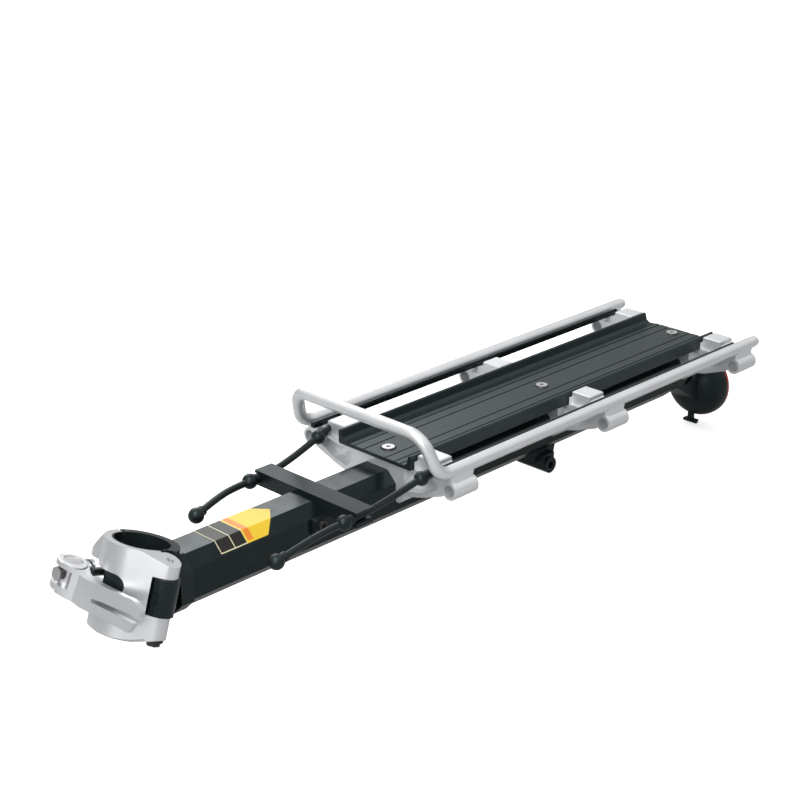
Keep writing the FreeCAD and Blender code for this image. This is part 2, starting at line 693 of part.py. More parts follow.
def bracket(x):
    """Cast cross-arm: saddle on the beam, ribbed arms, tabs beside the tray, rail seats and lugs."""
    low = x - bracket_width / 2
    high = x + bracket_width / 2
    half = profile_along_x(bracket_outline(), low, high)
    # Pockets that leave one web in the middle and flanges round it
    rib = 3.0
    pocket = [
        (beam_half + bracket_wall + 1.5, 8.6), (beam_half + bracket_wall + 5.5, 2.2), (39, 4.9),
        (51, 11.2), (51, 15.0), (44, 17.0), (34, platform_deck - rib), (23, platform_deck - rib),
    ]
    front_pocket = profile_along_x(pocket, low - 1, x - bracket_web / 2)
    rear_pocket = profile_along_x(pocket, x + bracket_web / 2, high + 1)
    half = half.cut([front_pocket, rear_pocket])
    lug = rod(lug_radius, (low, lug_y, lug_z), (high, lug_y, lug_z))
    neck = box(low + 2, high - 2, lug_y - 3.4, lug_y + 2.6, lug_z, rail_z - 1)
    seat = box(low + 1, high - 1, rail_y - rail_radius - 0.8, rail_y + rail_radius - 1.2,
               rail_z - 5.4, rail_z - 0.6)
    tab = box(x - tab_length / 2, x + tab_length / 2, tab_inner_y, tab_outer_y, tab_top - 5, tab_top)
    tab = tab.makeChamfer(0.7, [e for e in tab.Edges if e.BoundBox.ZMin > tab_top - 0.01])
    # The arm's top is low at both ends of the casting, so a narrower crest carries the tab and strip
    crest = bracket_crest_width / 2
    ledges = []
    for start, end in ((low - 1, x - crest), (x + crest, high + 1)):
        ledges.append(box(start, end, plate_half_width + 1.2, rail_y - rail_radius - 1.4,
                          bracket_ledge_top, rail_z + rail_radius))
    half = half.cut(ledges)
    half = joined([half, lug, neck, seat, tab])
    half = half.cut([
        rod(lug_bore_radius, (low - 1, lug_y, lug_z), (high + 1, lug_y, lug_z)),
        rod(rail_radius + seat_gap, (low - 1, rail_y, rail_z), (high + 1, rail_y, rail_z)),
        box(low - 1, high + 1, strip_y - strip_width / 2, strip_y + strip_width / 2,
            strip_floor(), rail_z + rail_radius),
    ])
    body = joined([half, mirrored(half)])
    socket = rod(screw_shank_radius + running, (x, 0, 0), (x, 0, platform_deck + 1))
    return body.cut(socket)


def front_bracket():
    """The front cross-arm also holds the tails of the two straps."""
    body = bracket(bracket_places[0])
    tails = [strap_tail_hole(1), strap_tail_hole(-1)]
    bend = swept_round(hoop_route(), rail_radius + seat_gap, hoop_bend_radius)
    return largest(body.cut(tails + [bend]))


def middle_bracket():
    return bracket(bracket_places[1])


def rear_bracket():
    return bracket(bracket_places[2])


def swept_round(points, radius, bend):
    """A round bar along a route of straight runs joined by arcs of one radius."""
    edges = []
    here = Vector(*points[0])
    for before, at, after in zip(points, points[1:], points[2:]):
        corner = Vector(*at)
        back = (Vector(*before) - corner).normalize()
        ahead = (Vector(*after) - corner).normalize()
        half = back.getAngle(ahead) / 2
        reach = bend / math.tan(half)
        start = corner + back * reach
        end = corner + ahead * reach
        middle_way = (back + ahead).normalize()
        middle = corner + middle_way * (bend / math.sin(half) - bend)
        edges.append(Part.makeLine(here, start))
        edges.append(Part.Arc(start, middle, end).toShape())
        here = end
    edges.append(Part.makeLine(here, Vector(*points[-1])))
    route = Part.Wire(edges)
    first = Vector(*points[1]) - Vector(*points[0])
    ring = Part.Wire(Part.makeCircle(radius, Vector(*points[0]), first))
    return route.makePipeShell([ring], True, False)


def hoop_route():
    """The rail's route: up the near side, over the front and back down the far side."""
    front_x = hoop_corner_x - hoop_lean_x
    top_z = rail_z + hoop_rise
    inner_y = rail_y - hoop_lean_y
    return [
        (rail_rear, -rail_y, rail_z), (hoop_corner_x, -rail_y, rail_z), (front_x, -inner_y, top_z),
        (front_x, inner_y, top_z), (hoop_corner_x, rail_y, rail_z), (rail_rear, rail_y, rail_z),
    ]


def side_rail_hoop():
    """Both side rails and the raised front stop, bent from one tube and left open at its two ends."""
    tube = swept_round(hoop_route(), rail_radius, hoop_bend_radius)
    for side in (-1, 1):
        tube = tube.cut(rod(rail_radius - rail_wall, (rail_rear - rail_bore_depth, side * rail_y, rail_z),
                            (rail_rear + 1, side * rail_y, rail_z)))
    return tube


def rail_end_plug(side):
    """Domed plug in a rail's open end."""
    y = side * rail_y
    stem_radius = rail_radius - rail_wall - seat_gap
    stem = rod(stem_radius, (rail_rear - plug_depth, y, rail_z), (rail_rear + 1, y, rail_z))
    cap = rod(rail_radius - 0.4, (rail_rear + seat_gap, y, rail_z), (rail_rear + plug_cap, y, rail_z))
    cap = cap.makeFillet(1.8, [e for e in cap.Edges if e.BoundBox.XMin > rail_rear + plug_cap - 0.1])
    return joined([stem, cap])


def rail_end_plugs():
    return Part.makeCompound([rail_end_plug(-1), rail_end_plug(1)])


def side_strip(side):
    """Thin bar that lies along the brackets inside a rail, for a bag to slide on."""
    low = side * strip_y - strip_width / 2
    bar = box(strip_front, strip_rear, low, low + strip_width, strip_floor(), strip_floor() + strip_height)
    ridge = box(strip_front, strip_rear, side * strip_y - 0.7, side * strip_y + 0.7,
                strip_floor() + strip_height, strip_floor() + strip_height + 0.6)
    return joined([bar, ridge])


def near_side_strip():
    return side_strip(-1)


def far_side_strip():
    return side_strip(1)


def plate_section():
    """The tray's (y, z) section: a floor and two walls with lips curled inward over the floor."""
    floor = platform_deck
    wall = plate_half_width
    lip = plate_lip_top
    right = [
        (0, floor), (wall - 0.4, floor), (wall + 0.4, floor + 0.8),
        (wall + 0.4, lip - 0.7), (wall - 0.3, lip), (wall - 1.3, lip), (wall - 1.9, lip - 0.6),
        (wall - 2.9, plate_floor_top + 2.0), (wall - 5.0, plate_floor_top),
    ]
    left = [(-y, z) for y, z in reversed(right[1:])]
    return right + left


def top_plate():
    """The extruded load tray with long grooves and three countersunk screw holes."""
    tray = profile_along_x(plate_section(), plate_front, plate_rear)
    grooves = []
    for y in plate_groove_places:
        for side in (-1, 1):
            middle = side * y
            grooves.append(box(plate_front - 1, plate_rear + 1, middle - plate_groove_width / 2,
                               middle + plate_groove_width / 2, plate_floor_top - plate_groove_depth,
                               plate_floor_top + 1))
    tray = tray.cut(grooves)
    # Rear corners of the tray are cut back on the slant
    for side in (-1, 1):
        tray = tray.cut(profile_along_z([
            (plate_rear + 1, side * 17), (plate_rear + 1, side * 60), (plate_rear - 6, side * 60),
            (plate_rear - 6, side * 40),
        ], 0, 60))
    for x in bracket_places:
        tray = tray.cut(Part.makeCylinder(screw_shank_radius + 0.4, 40, Vector(x, 0, 0)))
    return tray


def screw_cup(x):
    """Dished washer under a plate screw."""
    base = plate_floor_top
    cup = Part.makeCone(cup_radius, cup_radius - 0.8, cup_height, Vector(x, 0, base))
    sink = Part.makeCone(screw_shank_radius + running, screw_head_radius + running, cup_height - 0.1,
                         Vector(x, 0, base + 0.1))
    hole = Part.makeCylinder(screw_shank_radius + running, 4, Vector(x, 0, base - 1))
    return cup.cut([sink, hole])


def screw_cups():
    return Part.makeCompound([screw_cup(x) for x in bracket_places])


def plate_screw(x):
    """Flush-headed socket screw that holds tray, bracket and beam together."""
    top = plate_floor_top + cup_height
    foot = beam_top - beam_wall - 2
    seat = Vector(x, 0, plate_floor_top + 0.1)
    head = Part.makeCone(screw_shank_radius, screw_head_radius, cup_height - 0.1, seat)
    shank = Part.makeCylinder(screw_shank_radius, top - foot - 0.5, Vector(x, 0, foot))
    body = joined([head, shank])
    return body.cut(hexagon(2.6, 3, (x, 0, top - 1.6), (0, 0, 1)))


def plate_screws():
    return Part.makeCompound([plate_screw(x) for x in bracket_places])


# The strap bar and the straps

def strap_screw_x():
    """The strap bar's screws stand in the middle of its side flanges."""
    return (strap_leg_front + strap_bar_x - strap_bar_width / 2) / 2 + 0.4


def strap_screw_hole():
    """One hole right through the beam and both legs of the strap bar."""
    x = strap_screw_x()
    return rod(strap_screw_radius + running, (x, -40, strap_screw_z), (x, 40, strap_screw_z))


def strap_route(side):
    """Chosen points of one strap from its loose knob, through the bar, to the front bracket."""
    through = [(111.0, side * cord_bar_y, cord_bar_z), (147.0, side * cord_bar_y, cord_bar_z)]
    tail = [(193.0, side * 46.2, 22.2)]
    if side > 0:
        return [(68.0, 28.0, 9.0), (90.0, 35.2, 10.8)] + through + tail
    return [(70.0, -39.5, 2.3), (91.0, -40.6, 6.9)] + through + tail


def strap_bar():
    """Moulded bar across the beam: a saddle with side legs, and open slots that the straps press into."""
    front = strap_bar_x - strap_bar_width / 2
    rear = strap_bar_x + strap_bar_width / 2
    bottom = strap_bar_top - strap_bar_depth
    bar = box(front, rear, -strap_bar_half_length, strap_bar_half_length, bottom, strap_bar_top)
    # The bar's wings are hollow underneath, with a wall at the front and the rear
    shoulder = beam_half - beam_chamfer
    side = beam_half + strap_leg_wall
    saddle = profile_along_x([
        (-side, strap_leg_bottom), (-side, beam_top - beam_chamfer + 1.6), (-shoulder - 1, strap_bar_top),
        (shoulder + 1, strap_bar_top), (side, beam_top - beam_chamfer + 1.6), (side, strap_leg_bottom),
    ], front, rear)
    flange = profile_along_x([
        (-side, strap_leg_bottom + 1), (-side, 3.4), (-beam_half, 4.3), (beam_half, 4.3), (side, 3.4),
        (side, strap_leg_bottom + 1),
    ], strap_leg_front, rear)
    body = joined([bar, saddle, flange])
    body = body.cut(profile_along_x(octagon(0), front - 40, rear + 40))
    body = body.cut(box(front - 40, rear + 40, -beam_half, beam_half, -60, 0))
    slot_low = cord_bar_z - cord_slot
    for way in (-1, 1):
        inner = cord_bar_y - cord_slot
        y0, y1 = sorted((way * inner, way * 60))
        body = body.cut(box(front - 1, rear + 1, y0, y1, slot_low, slot_low + 2 * cord_slot))
        p0, p1 = sorted((way * (side + 2.5), way * (inner - 2.2)))
        body = body.cut(box(front + 2, rear - 2, p0, p1, bottom - 1, strap_bar_top - 2.4))
    return largest(body.cut(strap_screw_hole()))


def strap_bar_screw(side):
    """Pan-head screw through one leg of the strap bar into the beam."""
    start = side * (beam_half + strap_leg_wall)
    x = strap_screw_x()
    z = strap_screw_z
    shank = rod(strap_screw_radius, (x, start, z), (x, side * (beam_half - beam_wall - 2), z))
    head = rod(3.4, (x, start, z), (x, start + side * 1.9, z))
    body = joined([shank, head])
    return body.cut(hexagon(2.8, 3, (x, start + side * 0.7, z), (0, side, 0)))


def strap_bar_screws():
    return Part.makeCompound([strap_bar_screw(-1), strap_bar_screw(1)])


def cord_tube(points):
    """A limp round cord: straight runs joined by tangent arcs as wide as the runs allow."""
    edges = []
    here = Vector(*points[0])
    for before, at, after in zip(points, points[1:], points[2:]):
        corner = Vector(*at)
        into = corner - Vector(*before)
        out = Vector(*after) - corner
        turn = into.getAngle(out)
        reach = 0.45 * min(into.Length, out.Length)
        bend = reach / math.tan(turn / 2)
        print("strap bend radius", round(bend, 1))
        start = corner - Vector(into).normalize() * reach
        end = corner + Vector(out).normalize() * reach
        inward = (Vector(out).normalize() - Vector(into).normalize()).normalize()
        middle = corner + inward * (bend / math.cos(turn / 2) - bend)
        edges.append(Part.makeLine(here, start))
        edges.append(Part.Arc(start, middle, end).toShape())
        here = end
    edges.append(Part.makeLine(here, Vector(*points[-1])))
    route = Part.Wire(edges)
    first = Vector(*points[1]) - Vector(*points[0])
    ring = Part.Wire(Part.makeCircle(cord_radius, Vector(*points[0]), first))
    tube = route.makePipeShell([ring], True, False)
    print("strap length", round(route.Length, 1), "volume over section times length",
          round(tube.Volume / (math.pi * cord_radius ** 2 * route.Length), 4))
    return tube


def strap_tail_hole(side):
    """Blind hole in the front bracket for a strap's tail."""
    points = strap_route(side)
    start = Vector(*points[-2])
    end = Vector(*points[-1])
    run = (end - start).normalize()
    return Part.makeCylinder(cord_hole, 30, end - run * 29, run)


def near_strap():
    return cord_tube(strap_route(-1))


def far_strap():
    return cord_tube(strap_route(1))


def strap_knob(middle, ahead, radius, blind):
    """Ball moulded on a strap, bored for the strap and with a short collar ahead of it."""
    bore = cord_radius + 0.15
    collar = cord_radius + 1.0
    back = -math.sqrt(radius ** 2 - bore ** 2)
    meet = math.sqrt(radius ** 2 - collar ** 2)
    collar_end = radius + 1.8

    def at(along, out):
        return Vector(along, out, 0)

    edges = [
        Part.makeLine(at(meet, collar), at(collar_end, collar)),
        Part.makeLine(at(collar_end, collar), at(collar_end, bore)),
    ]
    if blind:
        edges += [
            Part.makeLine(at(collar_end, bore), at(-0.1, bore)),
            Part.makeLine(at(-0.1, bore), at(-0.1, 0)),
            Part.makeLine(at(-0.1, 0), at(-radius, 0)),
            Part.Arc(at(-radius, 0), at(-radius * 0.6, radius * 0.8), at(meet, collar)).toShape(),
        ]
    else:
        edges += [
            Part.makeLine(at(collar_end, bore), at(back, bore)),
            Part.Arc(at(back, bore), at(0, radius), at(meet, collar)).toShape(),
        ]
    knob = Part.Face(Part.Wire(edges)).revolve(Vector(0, 0, 0), X_AXIS, 360)
    knob.Placement = FreeCAD.Placement(middle, FreeCAD.Rotation(X_AXIS, ahead))
    return knob


def strap_knobs(side):
    """The loose end's ball, the ball that stops at the bar, and the ball at the bracket."""
    points = [Vector(*p) for p in strap_route(side)]
    loose = strap_knob(points[0], points[1] - points[0], knob_radius, True)
    bar_front = strap_bar_x - strap_bar_width / 2
    stop_place = Vector(bar_front - knob_radius - 2.2, points[2].y, points[2].z)
    stop = strap_knob(stop_place, X_AXIS, knob_radius, False)
    tail = points[-1] - points[-2]
    face = (bracket_places[0] - bracket_width / 2 - points[-2].x) / tail.x
    anchor = points[-2] + tail * face - Vector(tail).normalize() * (knob_radius + 2.9)
    last = strap_knob(anchor, tail, knob_radius - 0.3, False)
    return Part.makeCompound([loose, stop, last])


def near_strap_knobs():
    return strap_knobs(-1)


def far_strap_knobs():
    return strap_knobs(1)


# The fittings under and behind the beam

def under_socket():
    """Cross-wise socket on a saddle under the beam."""
    flat = beam_half - beam_chamfer
    saddle = profile_along_x([
        (-flat, beam_bottom), (flat, beam_bottom), (7.5, socket_z + 3), (-7.5, socket_z + 3),
    ], socket_x - 11, socket_x + 9)
    reach = socket_half_length
    web = box(socket_x - socket_radius, socket_x + socket_radius, -reach + 2, reach - 2,
              socket_z, beam_bottom - 4)
    web = web.common(rod(14, (socket_x, 0, socket_z), (socket_x, 0, beam_bottom)))
    tube = rod(socket_radius, (socket_x, -reach, socket_z), (socket_x, reach, socket_z))
    body = joined([saddle, web, tube])
    bore = rod(socket_bore_radius, (socket_x, -40, socket_z), (socket_x, 40, socket_z))
    hole = rod(socket_screw_radius + running, (socket_x, 0, socket_z), (socket_x, 0, beam_bottom + 5))
    return body.cut([bore, hole])


def under_socket_bolt():
    """The short screw that holds the socket's saddle to the beam."""
    x = socket_x
    head_z = socket_z + socket_bore_radius + 1.2
    shank = rod(socket_screw_radius, (x, 0, head_z), (x, 0, beam_bottom + beam_wall + 2.5))
    nut = hexagon(6.0, 2.2, (x, 0, beam_bottom + beam_wall), (0, 0, 1))
    return joined([shank, nut])


def oval_arc(radius, depth):
    """Quarter of an oval, from its tip ahead of the dish to its rim."""
    arc = Part.ArcOfEllipse(Part.Ellipse(Vector(0, 0, 0), radius, depth), 0, math.pi / 2).toShape()
    arc.rotate(Vector(0, 0, 0), Z_AXIS, 90)
    return arc


def turned_dish(edges):
    """Turns an outline about the dish's own axis."""
    outline = Part.Wire(Part.__sortEdges__(edges))
    dish = Part.Face(outline).revolve(Vector(0, 0, 0), X_AXIS, 360)
    dish.translate(Vector(dish_x, 0, dish_z))
    return dish


def dish_core(shrink):
    """The solid half-oval inside the dish, smaller all round by a distance."""
    radius = dish_radius - shrink
    depth = dish_depth - shrink
    middle = Vector(0, 0, 0)
    return turned_dish([
        oval_arc(radius, depth),
        Part.makeLine(Vector(-depth, 0, 0), middle),
        Part.makeLine(middle, Vector(0, radius, 0)),
    ])


def dish_shell():
    """The dish's domed wall with its straight rim."""
    inner = dish_radius - dish_wall
    corners = [(0, dish_radius), (dish_rim, dish_radius), (dish_rim, inner), (0, inner)]
    rim = [Vector(x, r, 0) for x, r in corners]
    edges = [oval_arc(dish_radius, dish_depth), oval_arc(inner, dish_depth - dish_wall)]
    edges += [Part.makeLine(a, b) for a, b in zip(rim, rim[1:])]
    edges.append(Part.makeLine(Vector(-dish_depth, 0, 0), Vector(dish_wall - dish_depth, 0, 0)))
    return turned_dish(edges)


def reflector_holder():
    """Plug in the beam's slanted end with a neck, a domed dish and a small hook below it."""
    plug = profile_along_x(octagon(beam_wall + 0.1), beam_rear - holder_plug_depth, beam_rear + 2)
    last = bracket_places[-1]
    last_screw = rod(screw_shank_radius + running, (last, 0, 0), (last, 0, beam_top))
    plug = plug.cut([beam_end_cut(1.5), last_screw])
    cap = profile_along_x(octagon(0.6), beam_rear + seat_gap, beam_rear + holder_cap)
    neck = profile_along_y([
        (beam_rear - beam_cut_run * 0.6, beam_bottom + beam_cut_rise * 0.4),
        (beam_rear + 2, beam_bottom + beam_cut_rise + 6), (beam_rear + 6, beam_bottom + beam_cut_rise + 8),
        (dish_x - 4, dish_z + neck_top_drop), (dish_x - 8, dish_z - neck_low_drop),
        (dish_x - dish_depth + 2, dish_z - 8),
    ], -neck_half_width, neck_half_width)
    core = dish_core(dish_wall / 2)
    neck = neck.cut([beam_solid_for_holder(), core])
    foot = dish_z - dish_radius - 3
    stem = box(dish_x - 9, dish_x - 5.4, -1.8, 1.8, foot, foot + 10).cut(core)
    hook = rod(2.4, (dish_x - 7.2, -5.4, foot), (dish_x - 7.2, 5.4, foot))
    hook = hook.common(box(dish_x - 12, dish_x, -6, 6, foot - 2.4, foot + 0.4))
    return largest(joined([plug, cap, neck, dish_shell(), stem, hook]))


def beam_solid_for_holder():
    """The beam's own walls, kept clear by the holder."""
    tube = profile_along_x(octagon(0), beam_rear - 60, beam_rear)
    return tube.cut(beam_end_cut(0))


def reflector_lens():
    """Red reflector that closes the dish."""
    seat = dish_radius - dish_wall - seat_gap
    front = dish_x + dish_rim + seat_gap
    face = rod(dish_radius - 0.2, (front, 0, dish_z), (dish_x + lens_thickness, 0, dish_z))
    rear_edge = [e for e in face.Edges if e.BoundBox.XMin > dish_x + lens_thickness - 0.01 and e.Length > 20]
    face = face.makeFillet(1.4, rear_edge)
    disc = rod(seat, (dish_x + seat_gap, 0, dish_z), (dish_x + 2.4, 0, dish_z))
    return joined([disc, face])


nodes = {
    "clamp_head": clamp_head,
    "front_jaw": front_jaw,
    "front_liner": front_liner,
    "rear_liner": rear_liner,
    "hinge_pin": hinge_pin,
    "hinge_nut": hinge_nut,
    "swing_bolt": swing_bolt,
    "bolt_pivot_pin": bolt_pivot_pin,
    "cam_barrel": cam_barrel,
    "saddle_washer": saddle_washer,
    "adjusting_nut": adjusting_nut,
    "cam_lever": cam_lever,
    "beam": beam,
    "front_bracket": front_bracket,
    "middle_bracket": middle_bracket,
    "rear_bracket": rear_bracket,
    "side_rail_hoop": side_rail_hoop,
    "rail_end_plugs": rail_end_plugs,
    "near_side_strip": near_side_strip,
    "far_side_strip": far_side_strip,
    "top_plate": top_plate,
    "screw_cups": screw_cups,
    "plate_screws": plate_screws,
    "strap_bar": strap_bar,
    "strap_bar_screws": strap_bar_screws,
    "near_strap": near_strap,
    "far_strap": far_strap,
    "near_strap_knobs": near_strap_knobs,
    "far_strap_knobs": far_strap_knobs,
    "under_socket": under_socket,
    "under_socket_bolt": under_socket_bolt,
    "reflector_holder": reflector_holder,
    "reflector_lens": reflector_lens,
}

os.makedirs("parts", exist_ok=True)
for name, make in nodes.items():
    shape = make()
    print(name, "solids", len(shape.Solids), "valid", shape.isValid(), "volume", round(shape.Volume, 1))
    shape.exportStep("parts/" + name + ".step")
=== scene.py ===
import math

import bpy
from mathutils import Matrix, Vector


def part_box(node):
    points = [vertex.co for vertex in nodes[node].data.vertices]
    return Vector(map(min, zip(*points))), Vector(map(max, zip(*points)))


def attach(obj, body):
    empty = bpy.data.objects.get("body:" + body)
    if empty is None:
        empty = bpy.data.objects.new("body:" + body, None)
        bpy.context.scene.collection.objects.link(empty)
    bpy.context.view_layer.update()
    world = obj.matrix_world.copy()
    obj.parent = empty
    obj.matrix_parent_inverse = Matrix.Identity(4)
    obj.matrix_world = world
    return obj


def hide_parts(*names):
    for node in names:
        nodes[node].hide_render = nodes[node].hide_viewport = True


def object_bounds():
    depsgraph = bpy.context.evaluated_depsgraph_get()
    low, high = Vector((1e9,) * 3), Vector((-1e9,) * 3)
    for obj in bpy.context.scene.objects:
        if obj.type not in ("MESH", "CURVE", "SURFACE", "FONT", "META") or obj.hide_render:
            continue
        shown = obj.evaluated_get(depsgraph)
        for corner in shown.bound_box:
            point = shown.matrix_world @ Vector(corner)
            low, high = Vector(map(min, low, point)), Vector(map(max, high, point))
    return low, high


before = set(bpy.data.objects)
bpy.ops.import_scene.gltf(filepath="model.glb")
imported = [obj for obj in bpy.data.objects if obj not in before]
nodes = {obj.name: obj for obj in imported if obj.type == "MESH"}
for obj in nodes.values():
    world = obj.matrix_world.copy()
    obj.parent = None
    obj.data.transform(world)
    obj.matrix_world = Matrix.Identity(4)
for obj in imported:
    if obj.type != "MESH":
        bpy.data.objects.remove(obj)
cad_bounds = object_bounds()
beam_high_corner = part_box("beam")[1]

# Camera, worked out from the photograph's vanishing lines
CAMERA_AZIMUTH = math.radians(-45.6)
CAMERA_ELEVATION = math.radians(21.9)
CAMERA_PLACE = Vector((-0.5155, -0.7098, 0.4568))
CAMERA_REACH = 50.0
FOCAL_IN_PIXELS = 1770.0
PICTURE_WIDTH = 800.0
SENSOR_WIDTH = 36.0

# Sizes of the beam and the straps, in metres
BEAM_TOP = beam_high_corner.z
BEAM_HALF = beam_high_corner.y
BEAM_CHAMFER = 0.0071
BEAM_FLAT_HALF = BEAM_HALF - BEAM_CHAMFER
CORD_DIAMETER = 0.0044

# Sticker, in metres: each field's front and rear ends along the beam, then widths and thin rises
STICKER_BORDER = (0.0505, 0.0700)
STICKER_FRONT_FIELD = (0.0511, 0.0606)
STICKER_MIDDLE_FIELD = (0.0613, 0.0697)
STICKER_ARROW = (0.0700, 0.0855)
STICKER_BAR = (0.0712, 0.0752)
STICKER_TIP = 0.0150
STICKER_HALF_WIDTH = 0.0178
STICKER_EDGE = 0.0007
STICKER_LIFT = 0.00012
STICKER_OVERLAY = 0.00003
STICKER_FOLD = 0.0001
STICKER_MOTTLE = 0.9

# Soft edges, and the scale and depth of surface relief
EDGE_BEVEL = 0.0004
EDGE_ANGLE = math.radians(32)
BUMP_DEPTH = 0.0002
SLOW_GRAIN = 38
SLOW_DETAIL = 4
LENS_CELLS = 420
LENS_BUMP_DEPTH = 0.0003

# Studio: brightness of the floor and the surroundings, as seen directly or in reflections
FLOOR_DROP = 0.0013
FLOOR_REACH = 12
FLOOR_GLOW = 0.62
FLOOR_IN_REFLECTIONS = 0.50
WORLD_STRENGTH = 0.50
SKY_IN_REFLECTIONS = 0.95
HORIZON_IN_REFLECTIONS = 0.35
SKY_HEIGHT = 0.75

WHITE = (1, 1, 1, 1)
BLACK_GLOSS_TINT = (0.70, 0.92, 0.96, 1)


def new_material(name):
    """A material with its node tree and its shader."""
    material = bpy.data.materials.new(name)
    material.use_nodes = True
    tree = material.node_tree
    return material, tree, tree.nodes["Principled BSDF"]


def noise(tree, scale, detail, stretch=(1, 1, 1)):
    """Noise on the object's own coordinates, stretched along its axes."""
    place = tree.nodes.new("ShaderNodeTexCoord")
    mapping = tree.nodes.new("ShaderNodeMapping")
    mapping.inputs["Scale"].default_value = stretch
    texture = tree.nodes.new("ShaderNodeTexNoise")
    texture.inputs["Scale"].default_value = scale
    texture.inputs["Detail"].default_value = detail
    tree.links.new(place.outputs["Object"], mapping.inputs["Vector"])
    tree.links.new(mapping.outputs["Vector"], texture.inputs["Vector"])
    return texture


def ramp(tree, source, low, high, start=0.35, end=0.65):
    """Turns a noise value into a range of greys or colours."""
    node = tree.nodes.new("ShaderNodeValToRGB")
    node.color_ramp.elements[0].position = start
    node.color_ramp.elements[1].position = end
    node.color_ramp.elements[0].color = low
    node.color_ramp.elements[1].color = high
    tree.links.new(source.outputs["Fac"], node.inputs["Fac"])
    return node


def grey(value):
    return (value, value, value, 1)


def add_bump(tree, shader, height, strength, depth):
    """Relief from a height output, as a share of a depth in metres."""
    bump = tree.nodes.new("ShaderNodeBump")
    bump.inputs["Strength"].default_value = strength
    bump.inputs["Distance"].default_value = depth
    tree.links.new(height, bump.inputs["Height"])
    tree.links.new(bump.outputs["Normal"], shader.inputs["Normal"])


def choose(tree, ray, otherwise, when):
    """Shows one shader to a kind of ray and another to the rest."""
    mix = tree.nodes.new("ShaderNodeMixShader")
    tree.links.new(ray, mix.inputs["Fac"])
    tree.links.new(otherwise, mix.inputs[1])
    tree.links.new(when, mix.inputs[2])
    return mix.outputs["Shader"]


def finish_material(name, dark, light, rough, grain, bump, metallic=0.0, stretch=(1, 1, 1), shine=0.5,
                    detail=3, gloss_tint=WHITE):
    """A finish with slow colour variation, fine roughness variation and a fine bump."""
    material, tree, shader = new_material(name)
    shader.inputs["Metallic"].default_value = metallic
    shader.inputs["Specular IOR Level"].default_value = shine
    shader.inputs["Specular Tint"].default_value = gloss_tint
    slow = noise(tree, SLOW_GRAIN, SLOW_DETAIL, stretch)
    fine = noise(tree, grain, detail, stretch)
    tint = ramp(tree, slow, (*dark, 1), (*light, 1))
    tree.links.new(tint.outputs["Color"], shader.inputs["Base Color"])
    wear = ramp(tree, fine, grey(rough[0]), grey(rough[1]))
    tree.links.new(wear.outputs["Color"], shader.inputs["Roughness"])
    add_bump(tree, shader, fine.outputs["Fac"], bump, BUMP_DEPTH)
    return material


def silver_paint():
    """Smooth silver paint of the side rails."""
    return finish_material(
        "silver_paint", dark=(0.70, 0.715, 0.73), light=(0.75, 0.765, 0.78), rough=(0.30, 0.34),
        metallic=0.7, grain=240, bump=0.02)


def silver_casting():
    """Satin silver paint over the grainier castings of the brackets."""
    return finish_material(
        "silver_casting", dark=(0.68, 0.695, 0.71), light=(0.74, 0.755, 0.77), rough=(0.36, 0.42),
        metallic=0.6, grain=420, bump=0.04)


def bright_jaw():
    """Polished metal of the jaw and the lever, with only a long slow waviness."""
    return finish_material(
        "bright_jaw", dark=(0.62, 0.63, 0.645), light=(0.66, 0.675, 0.69), rough=(0.32, 0.36),
        metallic=0.85, grain=55, bump=0.1, detail=0)


def black_anodised():
    """Glossy black of the beam and the side strips."""
    return finish_material(
        "black_anodised", dark=(0.0045, 0.0075, 0.0080), light=(0.0065, 0.0105, 0.0110), rough=(0.20, 0.25),
        grain=120, bump=0.05, shine=0.22, detail=1, gloss_tint=BLACK_GLOSS_TINT)


def black_casting():
    """Black paint over the clamp head's casting."""
    return finish_material(
        "black_casting", dark=(0.005, 0.007, 0.008), light=(0.008, 0.011, 0.012), rough=(0.22, 0.28),
        grain=240, bump=0.04, shine=0.30, detail=1, gloss_tint=BLACK_GLOSS_TINT)


def black_plastic():
    """Satin moulded black of the strap bar, the liners, the socket and the reflector's holder."""
    return finish_material(
        "black_plastic", dark=(0.006, 0.008, 0.009), light=(0.010, 0.013, 0.014), rough=(0.34, 0.42),
        grain=700, bump=0.03, shine=0.28, gloss_tint=BLACK_GLOSS_TINT)


def tray_black():
    """Brushed black of the extruded tray, drawn out along its length."""
    return finish_material(
        "tray_black", dark=(0.008, 0.012, 0.013), light=(0.012, 0.017, 0.018), rough=(0.38, 0.45),
        grain=900, bump=0.02, stretch=(0.15, 1, 1), shine=0.44, gloss_tint=BLACK_GLOSS_TINT)


def rubber():
    """Soft black of the straps and their balls."""
    return finish_material(
        "rubber", dark=(0.006, 0.008, 0.008), light=(0.011, 0.013, 0.013), rough=(0.30, 0.38),
        grain=700, bump=0.02, shine=0.30, gloss_tint=BLACK_GLOSS_TINT)


def steel():
    """Plated steel of the bolt, the barrel and the screws."""
    return finish_material(
        "steel", dark=(0.52, 0.52, 0.53), light=(0.64, 0.64, 0.65), rough=(0.28, 0.33), metallic=1.0,
        grain=90, bump=0.05, detail=0)


def black_steel():
    """Blackened steel of the small hardware."""
    return finish_material(
        "black_steel", dark=(0.012, 0.012, 0.013), light=(0.024, 0.024, 0.026), rough=(0.28, 0.40),
        metallic=0.3, grain=1200, bump=0.03)


